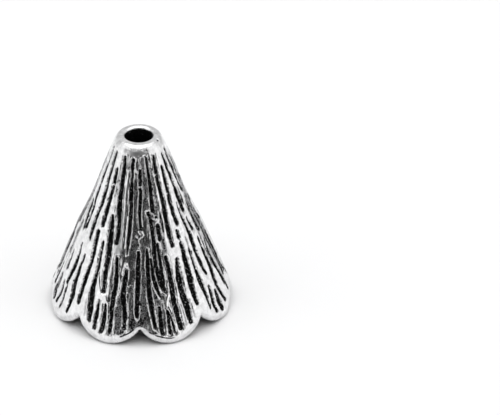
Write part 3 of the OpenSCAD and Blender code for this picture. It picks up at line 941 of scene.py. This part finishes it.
def makeFloor():
    bm = bmesh.new()
    bmesh.ops.create_grid(bm, x_segments=2, y_segments=2, size=ground["size"])
    mesh = bpy.data.meshes.new("floor")
    bm.to_mesh(mesh)
    bm.free()
    material = bpy.data.materials.new("palePaper")
    tree = emptyTree(material)
    shader = addNode(tree, "ShaderNodeBsdfPrincipled", {
        "Base Color": ground["white"], "Roughness": ground["roughness"], "Specular IOR Level": 0.0,
    })
    addNode(tree, "ShaderNodeOutputMaterial", {"Surface": shader.outputs[0]})
    mesh.materials.append(material)
    floor = addObject("floor", mesh)


# Studio: white all round and brighter overhead, with a dark gap low in front and a grey
# one behind. Gaps are half widths round from the front or back and top heights, in degrees.
studio = {
    "white": 1.05, "overhead": 2.2, "overheadFrom": (38, 62), "lean": 0.32,
    "frontGap": (42, 34), "frontDark": 0.025, "backGap": (78, 58), "backGrey": 0.65,
    "soften": 7, "seen": 1.5,
}


def makeStudio():
    world = bpy.data.worlds.new("studio")
    bpy.context.scene.world = world
    tree = emptyTree(world)
    place = addNode(tree, "ShaderNodeTexCoord")
    parts = addNode(tree, "ShaderNodeSeparateXYZ", {0: place.outputs["Generated"]}).outputs
    flat = addNode(tree, "ShaderNodeCombineXYZ", {"X": parts["X"], "Y": parts["Y"]})
    level = addNode(tree, "ShaderNodeVectorMath", {0: flat.outputs[0]}, operation="NORMALIZE")
    facing = addNode(tree, "ShaderNodeSeparateXYZ", {0: level.outputs[0]}).outputs

    def gap(width, top, sign):
        edge = studio["soften"]
        near, far = (math.cos(math.radians(width - side * edge)) for side in (1, -1))
        towards = calculate(tree, "MULTIPLY", facing["Y"], sign)
        between = carry(tree, towards, (far, near), kind="SMOOTHSTEP")
        low, high = (math.sin(math.radians(top + side * edge)) for side in (-1, 1))
        under = carry(tree, parts["Z"], (high, low), kind="SMOOTHSTEP")
        return calculate(tree, "MULTIPLY", between, under)

    rise = [math.sin(math.radians(height)) for height in studio["overheadFrom"]]
    dome = carry(tree, parts["Z"], rise, (0, studio["overhead"] - studio["white"]), kind="SMOOTHSTEP")
    side = calculate(tree, "MULTIPLY_ADD", parts["X"], -studio["lean"], 1.0)
    leaning = calculate(tree, "MULTIPLY_ADD", dome, side, studio["white"])
    front = mix(tree, "FLOAT", gap(*studio["frontGap"], -1), leaning, studio["frontDark"])
    back = mix(tree, "FLOAT", gap(*studio["backGap"], 1), front, studio["backGrey"])
    rays = addNode(tree, "ShaderNodeLightPath")
    shown = mix(tree, "FLOAT", rays.outputs["Is Camera Ray"], back, studio["seen"])
    light = addNode(tree, "ShaderNodeBackground", {"Color": (1, 1, 1, 1), "Strength": shown})
    addNode(tree, "ShaderNodeOutputWorld", {"Surface": light.outputs[0]})


# The camera looks down past the cap, which stands left of the middle of the frame.
# Pixels are in the 500 x 415 frame.
view = {
    "frame": (500, 415), "originPixel": (141.0, 297.4), "pixelsPerMm": 11.74,
    "azimuth": 0.5, "elevation": 32.6, "roll": 0.5, "distance": 1.2, "sensor": 36.0,
    "clip": (0.01, 20),
}


def makeCamera():
    around, up, roll = (math.radians(view[name]) for name in ("azimuth", "elevation", "roll"))
    back = Vector((math.sin(around) * math.cos(up), -math.cos(around) * math.cos(up), math.sin(up)))
    level = Vector((math.cos(around), math.sin(around), 0))
    upright = back.cross(level)
    right = level * math.cos(roll) - upright * math.sin(roll)
    upwards = level * math.sin(roll) + upright * math.cos(roll)
    wide, high = view["frame"]
    metresPerPixel = mm / view["pixelsPerMm"]
    aside = (wide / 2 - view["originPixel"][0]) * metresPerPixel
    above = (view["originPixel"][1] - high / 2) * metresPerPixel
    camera = addObject("camera", bpy.data.cameras.new("camera"))
    camera.location = right * aside + upwards * above + back * view["distance"]
    camera.rotation_euler = Matrix((right, upwards, back)).transposed().to_euler()
    camera.data.sensor_width = view["sensor"]
    camera.data.lens = view["sensor"] * view["distance"] / (wide * metresPerPixel)
    camera.data.clip_start, camera.data.clip_end = view["clip"]
    bpy.context.scene.camera = camera


makeCamera()
makeStudio()
makeFloor()
print("camera, studio and floor placed")

mesh = turnCap()
sculpt(mesh)
endCap = addObject("endCap", mesh)
thin(endCap, cap["triangles"])
finishCap(endCap)
for name, finish in (("antiqueSilver", antiqueSilver), ("shadedHollowSilver", shadedHollowSilver)):
    endCap.data.materials.append(makeSilver(name, finish))
print("silver laid on")

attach(endCap, "root")
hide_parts("end_cap")
bpy.context.scene.view_settings.view_transform = "Standard"
